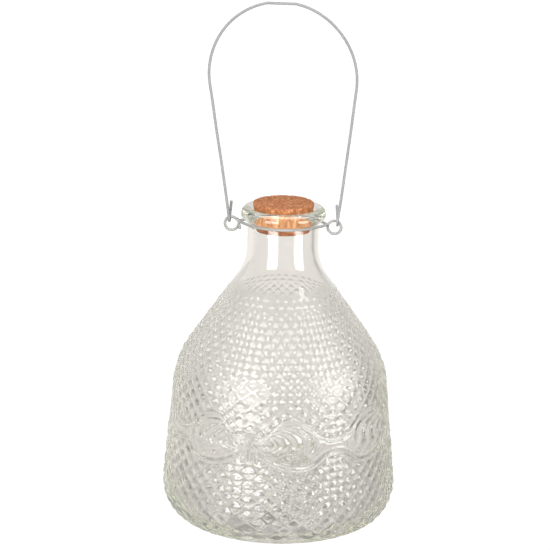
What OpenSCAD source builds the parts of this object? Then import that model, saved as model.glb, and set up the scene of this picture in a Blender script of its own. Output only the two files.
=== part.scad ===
// Glass fly trap: a pressed-glass jar with an entry funnel turned up inside its base,
// a tapered cork in the mouth, a wire collar under the lip and a wire bail handle.
// Millimetres, +Z up, origin at the centre of the foot ring.

/* [Glass jar] */
// Largest outside diameter of the belly, at the middle of its relief
belly_d = 139.4; // [110:0.2:180]
// Outer diameter of the flat foot ring, where the bottom curve starts
foot_d = 112; // [90:1:126]
// Height of the widest part of the belly
belly_z = 20.7; // [12:0.1:40]
// Inward lean of the belly wall from vertical, in degrees
belly_lean = 5.4; // [1:0.1:12]
// Height at which the belly line and the shoulder line meet
shoulder_z = 95.7; // [80:0.1:120]
// Lean of the shoulder cone from vertical, in degrees
shoulder_lean = 34.8; // [25:0.1:50]
// Rounding radius between belly and shoulder
shoulder_r = 53; // [20:1:70]
// Outside diameter of the neck
neck_d = 42; // [36:0.2:56]
// Rounding radius of the flare between shoulder and neck
flare_r = 32.6; // [15:0.1:50]
// Height of the top of the lip
jar_h = 189.4; // [170:0.2:240]
// Radius of the round lip's section
lip_r = 4; // [2.5:0.1:6]
// Diameter of the mouth's bore
mouth_d = 34.4; // [26:0.2:44]
// Wall thickness of belly and shoulder
wall = 3; // [2:0.1:5]
// Thickness of the glass above the foot ring
foot_t = 5; // [3:0.1:8]

/* [Entry funnel] */
// Inner diameter of the flat foot ring, where the funnel starts
funnel_d = 98; // [70:1:104]
// Diameter of the entry hole at the funnel's top
entry_d = 28; // [16:0.5:40]
// Height of the funnel's top edge above the foot ring
funnel_h = 38; // [25:0.5:60]
// Wall thickness of the funnel
funnel_t = 3.6; // [2.5:0.1:6]

/* [Cork] */
// Diameter of the cork's top face
cork_top_d = 36.2; // [28:0.1:46]
// Diameter of the cork's lower face
cork_low_d = 31.3; // [22:0.1:40]
// Length of the cork
cork_h = 16.5; // [10:0.1:30]
// Height of the cork's top face above the lip
cork_stand = 2.7; // [1:0.1:8]
// Width of the worn bevel on the cork's edges
cork_bevel = 0.5; // [0.1:0.1:1.5]

/* [Wire] */
// Diameter of the galvanised wire
wire_d = 1.6; // [1:0.1:3]
// Play between the collar and the neck
collar_play = 0.35; // [0.2:0.05:1]
// Height of the collar
collar_z = 179.5; // [160:0.1:200]
// Radius of an eye, to the middle of its wire
eye_r = 4.05; // [3.5:0.05:7]
// Distance of an eye's centre from the jar's axis
eye_x = 30.2; // [28:0.1:40]
// Drop of an eye's centre below the collar
eye_drop = 1.45; // [0:0.05:3]

/* [Bail handle] */
// Distance of a hook from the jar's axis
hook_x = 32; // [30.2:0.1:42]
// Radius of a hook, to the middle of its wire
hook_r = 2.2; // [1.9:0.05:3]
// Length of the hook's free tail
tail_l = 9.5; // [4:0.5:16]
// Inward lean of the hook's tail, in degrees
tail_lean = 5; // [0:0.5:8]
// Radius of the handle's arch, to the middle of its wire
arch_r = 43; // [40:0.5:60]
// Height of the top of the handle's wire
handle_z = 308.8; // [270:0.2:360]
// Length of the straight stretch at the top of the arch
grip_l = 16; // [6:0.5:24]

/* [Hidden] */
$fn = 96;

wr = wire_d / 2;
joint_r = wr * 1.08; // a bend in a wire is drawn as a small ball over the two ends
belly_r = belly_d / 2;
foot_r = foot_d / 2;
neck_r = neck_d / 2;
mouth_r = mouth_d / 2;
entry_r = entry_d / 2;
collar_r = neck_r + collar_play + wr;

// ---- plane geometry helpers ----
function unit(v) = v / norm(v);
function arc(c, r, a0, a1, n) = [for (i = [0:n]) let (a = a0 + (a1 - a0) * i / n) c + r * [cos(a), sin(a)]];
function oval(c, a, b, t0, t1, n) = [for (i = [0:n]) let (t = t0 + (t1 - t0) * i / n) c + [a * sin(t), -b * cos(t)]];
// the rounded corner at p1 on the way from p0 to p2
function corner(p0, p1, p2, r, n) = let (
    d0 = unit(p0 - p1), d2 = unit(p2 - p1), half = acos(d0 * d2) / 2,
    a = p1 + d0 * r / tan(half), b = p1 + d2 * r / tan(half), c = p1 + unit(d0 + d2) * r / sin(half),
    a0 = atan2(a[1] - c[1], a[0] - c[0]), a1 = atan2(b[1] - c[1], b[0] - c[0]),
    turn = (a1 - a0 + 540) % 360 - 180)
    arc(c, r, a0, a0 + turn, n);

// ---- section of the jar, drawn at the right of the axis as [radius, height] ----
// outside, from the foot ring up
foot_a = belly_r - foot_r;
out_t = 90 + atan(tan(belly_lean) * belly_z / foot_a);
out_foot = oval([foot_r, belly_z], foot_a, belly_z, 0, out_t, 20);
out_p = out_foot[20];
out_s = [out_p[0] - tan(belly_lean) * (shoulder_z - out_p[1]), shoulder_z];
out_n = [neck_r, out_s[1] + (out_s[0] - neck_r) / tan(shoulder_lean)];
lip_c = [mouth_r + lip_r, jar_h - lip_r];
fil = 0.8; // rounding under the lip
fil_c = [neck_r + fil, lip_c[1] - sqrt(pow(lip_r + fil, 2) - pow(neck_r + fil - lip_c[0], 2))];
fil_a = atan2(lip_c[1] - fil_c[1], lip_c[0] - fil_c[0]);
outside = concat(
    out_foot,
    corner(out_p, out_s, out_n, shoulder_r, 12),
    corner(out_s, out_n, [neck_r, jar_h], flare_r, 14),
    arc(fil_c, fil, 180, fil_a, 5),
    arc(lip_c, lip_r, fil_a - 180, 180, 26));
// inside, from the mouth down
in_a = foot_a - wall;
in_b = belly_z - foot_t;
in_t = 90 + atan(tan(belly_lean) * in_b / in_a);
in_foot = oval([foot_r, belly_z], in_a, in_b, in_t, 0, 18);
in_p = in_foot[0];
// the shoulder line moved in by the wall, where it meets the inner belly line and the bore
in_line = out_s - wall * [cos(shoulder_lean), sin(shoulder_lean)];
in_sz = (in_p[0] + tan(belly_lean) * in_p[1] - in_line[0] - tan(shoulder_lean) * in_line[1]) / (tan(belly_lean) - tan(shoulder_lean));
in_s = [in_p[0] - tan(belly_lean) * (in_sz - in_p[1]), in_sz];
in_n = [mouth_r, in_line[1] + (in_line[0] - mouth_r) / tan(shoulder_lean)];
// the funnel, its top edge rounded over
tip_r = funnel_t / 2;
tip = [entry_r + tip_r, funnel_h - tip_r];
fun_low = [funnel_d / 2, 0];
fun_lean = atan2(fun_low[0] - entry_r - 1.5, funnel_h - 5); // from vertical
fun_out = [tip[0] + tip_r * cos(fun_lean), tip[1] + tip_r * sin(fun_lean)];
fun_in = [tip[0] - tip_r * cos(fun_lean), tip[1] - tip_r * sin(fun_lean)];
trough = [fun_out[0] + (fun_out[1] - foot_t) * tan(fun_lean), foot_t];
fun_foot = [fun_in[0] + fun_in[1] * tan(fun_lean), 0];
inside = concat(
    corner([mouth_r, jar_h], in_n, in_s, flare_r + neck_r - mouth_r, 14),
    corner(in_n, in_s, in_p, shoulder_r - wall, 12),
    in_foot);
fun_rise = concat(corner([foot_r, foot_t], trough, fun_out, 7, 8), [fun_out]);
fun_fall = concat([fun_in], corner(fun_in, fun_foot, [foot_r, 0], 5, 8));

// ---- the jar is one piece of glass; level cuts part it into rings on one body ----
cut_funnel = 12;
cut_foot = 24;
cut_belly = 90;
cut_neck = 150;
// the point of a rising or falling path at a height
function at(path, z, i = 0) = (path[i][1] - z) * (path[i + 1][1] - z) <= 0
    ? path[i] + (path[i + 1] - path[i]) * (z - path[i][1]) / (path[i + 1][1] - path[i][1])
    : at(path, z, i + 1);
// the points of a path between two heights
function between(path, z0, z1) = [for (p = path) if (p[1] > z0 + 0.05 && p[1] < z1 - 0.05) p];

module glass(section) {
    color([0.86, 0.88, 0.84, 0.5]) rotate_extrude() polygon(section);
}

// the wall between two level cuts
module glass_ring(z0, z1) {
    glass(concat(
        [at(outside, z0)], between(outside, z0, z1), [at(outside, z1)],
        [at(inside, z1)], between(inside, z0, z1), [at(inside, z0)]));
}

module glass_foot() {
    glass(concat(
        between(outside, -1, cut_foot), [at(outside, cut_foot)],
        [at(inside, cut_foot)], between(inside, 0, cut_foot),
        between(fun_rise, 0, cut_funnel), [at(fun_rise, cut_funnel)],
        [at(fun_fall, cut_funnel)], between(fun_fall, -1, cut_funnel)));
}

module entry_funnel() {
    glass(concat(
        [at(fun_rise, cut_funnel)], between(fun_rise, cut_funnel, fun_out[1]),
        arc(tip, tip_r, fun_lean, fun_lean + 180, 14),
        between(fun_fall, cut_funnel, fun_in[1]), [at(fun_fall, cut_funnel)]));
}

module glass_belly() {
    glass_ring(cut_foot, cut_belly);
}

module glass_shoulder() {
    glass_ring(cut_belly, cut_neck);
}

module glass_neck() {
    glass(concat(
        [at(outside, cut_neck)], between(outside, cut_neck, jar_h + 1),
        between(inside, cut_neck, jar_h), [at(inside, cut_neck)]));
}

module cork_stopper() {
    lean = (cork_top_d - cork_low_d) / 2 / cork_h;
    top = cork_top_d / 2;
    low = cork_low_d / 2;
    b = cork_bevel;
    color([0.78, 0.52, 0.34])
        translate([0, 0, jar_h + cork_stand - cork_h])
            rotate_extrude() polygon([
                [0, 0], [low - b, 0], [low + lean * b, b],
                [top - lean * b, cork_h - b], [top - b, cork_h], [0, cork_h]]);
}

// a straight wire from p to q, its ends held back by gap
module rod(p, q, gap = 0.25) {
    d = q - p;
    l = norm(d);
    translate(p)
        rotate([0, acos(d[2] / l), atan2(d[1], d[0])])
            translate([0, 0, gap]) cylinder(r = wr, h = l - 2 * gap);
}

// a bent wire in the XY plane about the Z axis, from angle a0 to a1
module bend(r, a0, a1, gap = 0.25) {
    g = gap / r * 180 / PI;
    rotate([0, 0, a0 + g])
        rotate_extrude(angle = a1 - a0 - 2 * g) translate([r, 0]) circle(r = wr);
}

// a bend's ball, its poles along the wire
module ball(p, r = joint_r, turn = [0, 0, 0]) {
    translate(p) rotate(turn) sphere(r = r);
}

module neck_wire() {
    apex_x = eye_x - sqrt(eye_r * eye_r - eye_drop * eye_drop);
    open = acos(collar_r / apex_x); // where the wire leaves the neck for the eye
    color([0.72, 0.73, 0.74])
        translate([0, 0, collar_z]) {
            for (turn = [0, 180]) rotate([0, 0, turn]) {
                bend(collar_r, open, 180 - open);
                for (side = [open, -open]) {
                    p = collar_r * [cos(side), sin(side), 0];
                    ball(p, turn = [0, 90, side + 90]);
                    rod(p, [apex_x, 0, 0], 0.3);
                }
                ball([apex_x, 0, 0], wr * 1.3);
                translate([eye_x, 0, -eye_drop]) rotate([90, 0, 0])
                    rotate_extrude() translate([eye_r, 0]) circle(r = wr);
            }
            // the wire's two ends, twisted down beside the left eye
            rod([-apex_x, 0, 0], [-apex_x + 0.9, -0.9, -4.4], 0.2);
        }
}

module bail_handle() {
    pivot_z = collar_z - eye_drop + sqrt(eye_r * eye_r - pow(hook_x - eye_x, 2));
    flat_a = asin(grip_l / 2 / arch_r); // half angle of the straight stretch
    arch_z = handle_z - wr - arch_r * cos(flat_a);
    // a leg runs from its hook to touch the arch
    dx = hook_x;
    dz = arch_z - pivot_z;
    lean = atan2(dz, dx) - acos(arch_r / sqrt(dx * dx + dz * dz));
    leg_top = [arch_r * cos(lean), -hook_r, arch_z - arch_r * sin(lean)];
    color([0.74, 0.75, 0.76]) {
        rod([-grip_l / 2, -hook_r, handle_z - wr], [grip_l / 2, -hook_r, handle_z - wr]);
        for (side = [0, 1]) mirror([side, 0, 0]) {
            // the arch and the leg
            ball([grip_l / 2, -hook_r, handle_z - wr], turn = [0, 90 + flat_a / 2, 0]);
            translate([0, -hook_r, arch_z]) rotate([90, 0, 0])
                bend(arch_r, -lean, 90 - flat_a);
            ball(leg_top, turn = [0, lean, 0]);
            rod(leg_top, [hook_x, -hook_r, pivot_z]);
            // the hook under the eye's wire and its tail
            ball([hook_x, -hook_r, pivot_z], turn = [0, lean / 2, 0]);
            translate([hook_x, 0, pivot_z]) rotate([90, 0, 90])
                bend(hook_r, 180, 360);
            ball([hook_x, hook_r, pivot_z], turn = [0, -tail_lean / 2, 0]);
            rod([hook_x, hook_r, pivot_z], [hook_x - tail_l * sin(tail_lean), hook_r, pivot_z + tail_l * cos(tail_lean)]);
        }
    }
}

glass_foot();
entry_funnel();
glass_belly();
glass_shoulder();
glass_neck();
cork_stopper();
neck_wire();
bail_handle();
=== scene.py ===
"""Glass fly trap: the look of the pressed-glass jar, its cork, its wire collar and its bail handle."""

import math

import bpy
import numpy as np
from mathutils import Matrix, Vector, noise


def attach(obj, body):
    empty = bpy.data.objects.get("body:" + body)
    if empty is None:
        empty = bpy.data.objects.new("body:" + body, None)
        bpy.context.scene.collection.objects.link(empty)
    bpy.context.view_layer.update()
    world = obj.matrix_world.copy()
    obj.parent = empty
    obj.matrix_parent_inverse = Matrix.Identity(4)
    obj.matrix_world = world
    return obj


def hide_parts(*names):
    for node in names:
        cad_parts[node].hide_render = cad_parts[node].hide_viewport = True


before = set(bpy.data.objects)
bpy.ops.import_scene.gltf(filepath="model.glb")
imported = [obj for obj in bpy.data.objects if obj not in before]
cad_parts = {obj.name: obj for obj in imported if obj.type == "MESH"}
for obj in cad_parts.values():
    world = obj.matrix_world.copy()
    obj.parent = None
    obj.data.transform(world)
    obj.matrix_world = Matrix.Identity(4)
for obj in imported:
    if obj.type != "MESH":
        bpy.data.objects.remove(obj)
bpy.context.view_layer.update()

scene = bpy.context.scene
MM = 0.001


# ------------------------------------------------------------------ mesh helpers
def new_mesh(name, verts_mm, faces, smooth=True):
    mesh = bpy.data.meshes.new(name)
    mesh.from_pydata((np.asarray(verts_mm, float) * MM).tolist(), [], faces)
    mesh.validate()
    mesh.polygons.foreach_set("use_smooth", [smooth] * len(mesh.polygons))
    mesh.update()
    obj = bpy.data.objects.new(name, mesh)
    scene.collection.objects.link(obj)
    return obj


def smoothstep(a, b, x):
    t = np.clip((np.asarray(x, float) - a) / (b - a), 0.0, 1.0)
    return t * t * (3 - 2 * t)


# ------------------------------------------------------------------ section of the jar, [radius, height] in mm
def unit(v):
    return v / np.linalg.norm(v)


def tan_d(a):
    return math.tan(math.radians(a))


def arc(c, r, a0, a1, n):
    t = np.radians(a0 + (a1 - a0) * np.arange(n + 1) / n)
    return np.c_[c[0] + r * np.cos(t), c[1] + r * np.sin(t)]


def oval(c, a, b, t0, t1, n):
    t = np.radians(t0 + (t1 - t0) * np.arange(n + 1) / n)
    return np.c_[c[0] + a * np.sin(t), c[1] - b * np.cos(t)]


def corner(p0, p1, p2, r, n):
    p0, p1, p2 = (np.asarray(p, float) for p in (p0, p1, p2))
    d0, d2 = unit(p0 - p1), unit(p2 - p1)
    half = math.acos(d0 @ d2) / 2
    a = p1 + d0 * r / math.tan(half)
    b = p1 + d2 * r / math.tan(half)
    c = p1 + unit(d0 + d2) * r / math.sin(half)
    a0 = math.degrees(math.atan2(a[1] - c[1], a[0] - c[0]))
    a1 = math.degrees(math.atan2(b[1] - c[1], b[0] - c[0]))
    return arc(c, r, a0, a0 + (a1 - a0 + 540) % 360 - 180, n)


def along(p, q, n):
    t = np.linspace(0, 1, n + 1)[:, None]
    return np.asarray(p) * (1 - t) + np.asarray(q) * t


belly_r, foot_r, belly_z, belly_lean = 69.7, 56.0, 20.7, 5.4
shoulder_z, shoulder_lean, shoulder_r = 95.7, 34.8, 53.0
neck_r, flare_r, jar_h, lip_r, mouth_r = 21.0, 32.6, 189.4, 4.0, 17.2
wall, foot_t = 3.0, 5.0
funnel_r, entry_r, funnel_h, funnel_t = 49.0, 14.0, 38.0, 3.6

foot_a = belly_r - foot_r
out_t = 90 + math.degrees(math.atan(tan_d(belly_lean) * belly_z / foot_a))
out_foot = oval((foot_r, belly_z), foot_a, belly_z, 0, out_t, 80)
out_p = out_foot[-1]
out_s = np.array([out_p[0] - tan_d(belly_lean) * (shoulder_z - out_p[1]), shoulder_z])
out_n = np.array([neck_r, out_s[1] + (out_s[0] - neck_r) / tan_d(shoulder_lean)])
lip_c = np.array([mouth_r + lip_r, jar_h - lip_r])
fil = 0.8
fil_c = np.array([neck_r + fil, lip_c[1] - math.sqrt((lip_r + fil) ** 2 - (neck_r + fil - lip_c[0]) ** 2)])
fil_a = math.degrees(math.atan2(lip_c[1] - fil_c[1], lip_c[0] - fil_c[0]))
out_shoulder = corner(out_p, out_s, out_n, shoulder_r, 60)
out_flare = corner(out_s, out_n, (neck_r, jar_h), flare_r, 60)

in_a, in_b = foot_a - wall, belly_z - foot_t
in_t = 90 + math.degrees(math.atan(tan_d(belly_lean) * in_b / in_a))
in_foot = oval((foot_r, belly_z), in_a, in_b, in_t, 0, 14)
in_p = in_foot[0]
in_line = out_s - wall * np.array([math.cos(math.radians(shoulder_lean)), math.sin(math.radians(shoulder_lean))])
in_sz = (in_p[0] + tan_d(belly_lean) * in_p[1] - in_line[0] - tan_d(shoulder_lean) * in_line[1]) / (
    tan_d(belly_lean) - tan_d(shoulder_lean)
)
in_s = np.array([in_p[0] - tan_d(belly_lean) * (in_sz - in_p[1]), in_sz])
in_n = np.array([mouth_r, in_line[1] + (in_line[0] - mouth_r) / tan_d(shoulder_lean)])
tip_r = funnel_t / 2
tip = np.array([entry_r + tip_r, funnel_h - tip_r])
fun_lean = math.degrees(math.atan2(funnel_r - entry_r - 1.5, funnel_h - 5))
fun_dir = np.array([math.cos(math.radians(fun_lean)), math.sin(math.radians(fun_lean))])
fun_out, fun_in = tip + tip_r * fun_dir, tip - tip_r * fun_dir
trough = np.array([fun_out[0] + (fun_out[1] - foot_t) * tan_d(fun_lean), foot_t])
fun_foot = np.array([fun_in[0] + fun_in[1] * tan_d(fun_lean), 0.0])


# ------------------------------------------------------------------ relief of the jar's outside
N_ROUND = 42  # diamonds round the jar
SUB = 7  # steps along a diamond's edge
DIAMOND_H = 8.7  # height of a diamond along the wall, mm
RELIEF_TOP = 141.0  # height where the diamonds begin under the smooth neck, mm
LOW, HIGH = -0.82, 0.43  # grooves and crowns against the plain wall, mm
SEAM_WIDE = 1.5  # the column of diamonds on each of the two mould seams is wider

BOW_AT = math.radians(-10.0)  # the front bow and its seam, from the front towards the right
BOW_EVERY = math.radians(90.0)
MM_PER_DEG = 1.19  # along the wall at the bows
# the festoon's upper edge and its lower cord, from a bow's middle: degrees, height in mm
RIBBON_TOP = np.array([(0, 70.0), (4, 66.6), (6, 67.0), (9, 70.8), (14, 76.4), (18.5, 79.7), (24, 79.4), (29.4, 76.6), (34.5, 71.6), (39, 68.4), (45, 67.4)])
RIBBON_LOW = np.array([(0, 59.6), (4, 57.6), (6, 56.4), (9.7, 53.9), (14.7, 51.4), (20, 49.9), (26, 49.3), (31, 50.3), (36, 53.8), (40.5, 57.0), (45, 58.2)])

# the loops' nested folds: circles that touch at the knot, drawn flat
LOOP_X, LOOP_Z, LOOP_R, LOOP_DX, LOOP_DZ, LOOP_FLAT = 9.6, 63.5, 4.5, 16.3, 1.5, 1.5
LOOP_DR = math.hypot(LOOP_DX, LOOP_DZ)


def spline(table, x):
    """A smooth curve through a table of points, by cubic Hermite pieces."""
    xs, ys = table[:, 0], table[:, 1]
    slope = np.gradient(ys, xs)
    i = np.clip(np.searchsorted(xs, x) - 1, 0, len(xs) - 2)
    h = xs[i + 1] - xs[i]
    t = (x - xs[i]) / h
    return (
        ys[i] * (2 * t**3 - 3 * t**2 + 1)
        + slope[i] * h * (t**3 - 2 * t**2 + t)
        + ys[i + 1] * (3 * t**2 - 2 * t**3)
        + slope[i + 1] * h * (t**3 - t**2)
    )


def ribbon(theta, z):
    """The festoon: how far it takes the diamonds' place at each point, 0 to 1, and its own height there, mm."""
    a = np.degrees((theta - BOW_AT + BOW_EVERY / 2) % BOW_EVERY - BOW_EVERY / 2)
    b = np.abs(a)
    top, low = spline(RIBBON_TOP, b), spline(RIBBON_LOW, b)
    b0, b1 = np.clip(b - 0.4, 0, 45), np.clip(b + 0.4, 0, 45)
    top_rise = (spline(RIBBON_TOP, b1) - spline(RIBBON_TOP, b0)) / ((b1 - b0) * MM_PER_DEG)
    low_rise = (spline(RIBBON_LOW, b1) - spline(RIBBON_LOW, b0)) / ((b1 - b0) * MM_PER_DEG)
    t_in = (top - z) / np.hypot(1, top_rise)
    l_in = (z - low) / np.hypot(1, low_rise)
    # the pleated upper part is cut out of the diamonds, and they go on softly under it
    split = 60.5 + (low - 62.5) * smoothstep(30.0, 41.0, b)
    ground = smoothstep(-0.4, 0.7, t_in) * smoothstep(-1.4, 1.4, z - split)
    within = smoothstep(-0.2, 1.0, t_in) * smoothstep(-0.2, 1.0, l_in)
    # a rolled hem along the upper edge with a hollow under it, and a cord along the lower one
    hem = 0.22 * np.exp(-(((t_in - 1.1) / 1.0) ** 2)) - 0.20 * np.exp(-(((t_in - 3.2) / 1.1) ** 2))
    cord = 0.50 * np.exp(-((l_in / 0.95) ** 2)) - 0.38 * np.exp(-(((l_in - 2.1) / 0.9) ** 2)) - 0.25 * np.exp(-(((l_in + 1.9) / 0.8) ** 2))
    cord_near = (1 - smoothstep(2.0, 3.2, np.abs(l_in - 0.2))) * smoothstep(0.0, 1.5, t_in)
    # nested loops that share the knot: k is 0 at the smallest and 1 at the outer edge
    p_, q_ = b * MM_PER_DEG - LOOP_X, LOOP_FLAT * (z - LOOP_Z)
    k = (p_**2 + q_**2 - LOOP_R**2) / np.maximum(2 * (LOOP_DX * p_ + LOOP_DZ * q_ + LOOP_R * LOOP_DR), 1.0)
    # the swag between two bows, a soft roll
    t = (z - low) / np.maximum(top - low, 1.0)
    swag = 0.18 - 0.9 * (t - 0.5) ** 2
    out = smoothstep(1.0, 1.12, k)
    h = -0.05 * (1 - out) + swag * out + hem * ground + cord * cord_near
    inside = np.maximum(np.maximum(ground, cord_near), 0.45 * within)
    # the knot: a narrow waist that widens above and below it, rounded across; its pleats are drawn only as bump in the
    # glass material
    x, y = a * MM_PER_DEG, z - 63.2
    half = np.where(y > 0, 1.4 + 0.55 * y, 1.6 - 0.36 * y)
    half = np.minimum(half, np.where(y > 0, 5.0, 4.3))
    body = smoothstep(-0.9, 0.5, half - np.abs(x)) * smoothstep(-12.2, -10.4, y) * (1 - smoothstep(6.6, 8.2, y))
    knot = 0.22 - 0.014 * x**2
    knot = knot - 0.30 * np.exp(-(((np.abs(y + 1.0) - 3.6) / 0.8) ** 2))
    h = h * (1 - body) + knot * body
    inside = np.maximum(inside, body)
    return inside, np.clip(h, LOW, HIGH + 0.15)


def seam_angle(u):
    """The angle of a place counted in diamonds round the jar, with the wider columns on the two seams."""
    half = N_ROUND / 2
    turn = np.floor((u + half / 2) / half)
    w = u - turn * half
    pitch = np.pi / (half + SEAM_WIDE - 1)
    return BOW_AT + turn * np.pi + pitch * (w + (SEAM_WIDE - 1) * np.clip(w, -0.5, 0.5))


wall_path = np.vstack([out_foot, out_shoulder, out_flare[out_flare[:, 1] < 165]])
keep = np.r_[True, np.linalg.norm(np.diff(wall_path, axis=0), axis=1) > 1e-6]
wall_path = wall_path[keep]
wall_s = np.r_[0, np.cumsum(np.linalg.norm(np.diff(wall_path, axis=0), axis=1))]
fine_s = np.arange(0, wall_s[-1], 0.2)
fine = np.c_[np.interp(fine_s, wall_s, wall_path[:, 0]), np.interp(fine_s, wall_s, wall_path[:, 1])]
tang = np.gradient(fine, fine_s, axis=0)
tang /= np.linalg.norm(tang, axis=1)[:, None]
for _ in range(3):  # the section's short straights give way to one even curve
    tang[1:-1] = (tang[:-2] + 2 * tang[1:-1] + tang[2:]) / 4
top_s = float(np.interp(RELIEF_TOP, fine[:, 1], fine_s))

step_s = DIAMOND_H / (2 * SUB)
n_rows = int((top_s - 1.2) // step_s) + 1
M = N_ROUND * SUB
verts, faces = [], []
u_even = np.arange(M) / SUB
u_odd = u_even + 0.5 / SUB
rng = np.random.default_rng(5)
uneven, tilt_p, tilt_q = rng.normal(0, 1, (3, N_ROUND * 2, 200))
for j in range(n_rows):
    s = top_s - j * step_s
    r0, z0 = np.interp(s, fine_s, fine[:, 0]), np.interp(s, fine_s, fine[:, 1])
    tr, tz = np.interp(s, fine_s, tang[:, 0]), np.interp(s, fine_s, tang[:, 1])
    u, v = (u_odd if j % 2 else u_even), (j + SUB) / (2 * SUB)
    th = seam_angle(u)
    p, q = u + v + 1e-9, u - v + 1e-9
    fp, fq = p - np.floor(p), q - np.floor(q)
    stud = (1 - np.abs(2 * fp - 1) ** 2.1) * (1 - np.abs(2 * fq - 1) ** 2.1)
    high = float(smoothstep(86.0, 110.0, s))  # the shoulder's are the most even
    ip, iq = np.floor(p).astype(int), np.floor(q).astype(int)
    at_cell = (ip % N_ROUND, (iq - ip) % 200)
    width = 2 * np.pi * r0 / N_ROUND
    depth = (HIGH - LOW) * min(1.0, (width / 9.0) ** 0.8) * (1 + 0.22 * float(smoothstep(62.0, 96.0, s)))
    slant = (0.22 + 0.28 * float(1 - smoothstep(15.0, 50.0, s)) - 0.16 * high) * ((fp - 0.5) * tilt_p[at_cell] + (fq - 0.5) * tilt_q[at_cell])
    h_stud = HIGH - depth + depth * stud * (1 + 0.08 * uneven[at_cell] + slant)
    down = top_s - s
    fade = float((1.0 - 0.24 * (1 - smoothstep(16.0, 38.0, s))) * smoothstep(2.0, 13.0, s) * smoothstep(0.0, 1.5, down))
    # the relief begins with rows of flat beads, which turn into studs further down
    row = (down - 1.8) / (DIAMOND_H / 2)
    bead = (0.5 + 0.5 * math.cos(2 * math.pi * row)) * (0.58 + 0.42 * np.cos(2 * np.pi * (u + 0.5 * round(row))))
    begin = float(1 - smoothstep(5.0, 14.0, down))
    h_stud = h_stud * (1 - begin) + (0.60 * bead - 0.16) * begin
    inside, h_rib = ribbon(th, np.full_like(th, z0))
    h = (h_stud * (1 - inside) + h_rib * inside) * fade
    # the mould's wear and the glass's own flow
    ripple = [0.05 * noise.noise(Vector((r0 * math.sin(t) * 0.27, r0 * math.cos(t) * 0.27, s * 0.27))) + 0.10 * noise.noise(Vector((r0 * math.sin(t) * 0.09, r0 * math.cos(t) * 0.09, s * 0.09 + 40))) for t in th]
    h = h + np.array(ripple) * fade * (1 - 0.65 * high)
    r, z = r0 + h * tz, z0 - h * tr
    verts.append(np.c_[r * np.sin(th), -r * np.cos(th), np.broadcast_to(z, th.shape)])

rows = [np.arange(M) + j * M for j in range(n_rows)]
for j in range(n_rows - 2):
    up, mid, dn = rows[j], rows[j + 1], rows[j + 2]
    right, left = (np.roll(mid, -1), mid) if j % 2 else (mid, np.roll(mid, 1))
    faces += np.c_[up, left, dn, right].tolist()
# the half faces at both ends
faces += np.c_[rows[0], rows[1], np.roll(rows[0], -1)].tolist()
last, before = rows[-1], rows[-2]
if (n_rows - 1) % 2:
    faces += np.c_[last, np.roll(last, -1), np.roll(before, -1)].tolist()
else:
    faces += np.c_[last, np.roll(last, -1), before].tolist()
count = n_rows * M

# the smooth parts, as rings of half as many points
R2 = M // 2
theta_r = seam_angle(2 * np.arange(R2) / SUB)
smooth = []
k0 = int(np.searchsorted(fine_s, top_s))
for s in np.r_[np.arange(top_s + 1.5, np.interp(out_flare[-1, 1], fine[:, 1], fine_s), 2.6)]:
    smooth.append((np.interp(s, fine_s, fine[:, 0]), np.interp(s, fine_s, fine[:, 1])))
smooth += [tuple(x) for x in along(out_flare[-1], (neck_r, fil_c[1]), 4)[:-1]]
smooth += [tuple(x) for x in arc(fil_c, fil, 180, fil_a, 5)[:-1]]
smooth += [tuple(x) for x in arc(lip_c, lip_r, fil_a - 180, 180, 26)]
in_flare = corner((mouth_r, jar_h), in_n, in_s, flare_r + neck_r - mouth_r, 14)
smooth += [tuple(x) for x in along((mouth_r, lip_c[1]), in_flare[0], 4)[1:-1]]
smooth += [tuple(x) for x in in_flare]
in_shoulder = corner(in_n, in_s, in_p, shoulder_r - wall, 12)
wavy_from = len(smooth)
smooth += [tuple(x) for x in along(in_flare[-1], in_shoulder[0], 7)[1:-1]]
smooth += [tuple(x) for x in in_shoulder]
smooth += [tuple(x) for x in along(in_shoulder[-1], in_p, 19)[1:-1]]
smooth += [tuple(x) for x in in_foot]
wavy_to = len(smooth)
smooth += [tuple(x) for x in corner((foot_r, foot_t), trough, fun_out, 7, 7)]
smooth += [tuple(x) for x in along(smooth[-1], fun_out, 3)[1:-1]]
smooth += [tuple(x) for x in arc(tip, tip_r, fun_lean, fun_lean + 180, 12)]
under = corner(fun_in, fun_foot, (foot_r, 0), 5, 6)
smooth += [tuple(x) for x in along(fun_in, under[0], 3)[1:-1]]
smooth += [tuple(x) for x in under]
smooth += [tuple(x) for x in along(under[-1], (foot_r, 0), 2)[1:]]
first = count
for i, (r, z) in enumerate(smooth):
    d = np.zeros(R2)
    if wavy_from <= i < wavy_to:
        # the inside of the wall follows the relief only as soft waves
        ease = min(1.0, (i - wavy_from + 1) / 5, (wavy_to - i) / 6) * (1 - 0.6 * float(smoothstep(80.0, 105.0, z)))
        for n_, t in enumerate(theta_r):
            x, y = r * math.sin(t), r * math.cos(t)
            d[n_] = ease * (0.34 * noise.noise(Vector((x * 0.075, y * 0.075, z * 0.075 + 11))) + 0.16 * noise.noise(Vector((x * 0.15, y * 0.15, z * 0.15 + 70))))
    verts.append(np.c_[(r + d) * np.sin(theta_r), -(r + d) * np.cos(theta_r), np.full(R2, z)])
count += R2 * len(smooth)
rings = [first + np.arange(R2) + i * R2 for i in range(len(smooth))]
for a, b in zip(rings, rings[1:]):
    faces += np.c_[a, b, np.roll(b, -1), np.roll(a, -1)].tolist()


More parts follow.
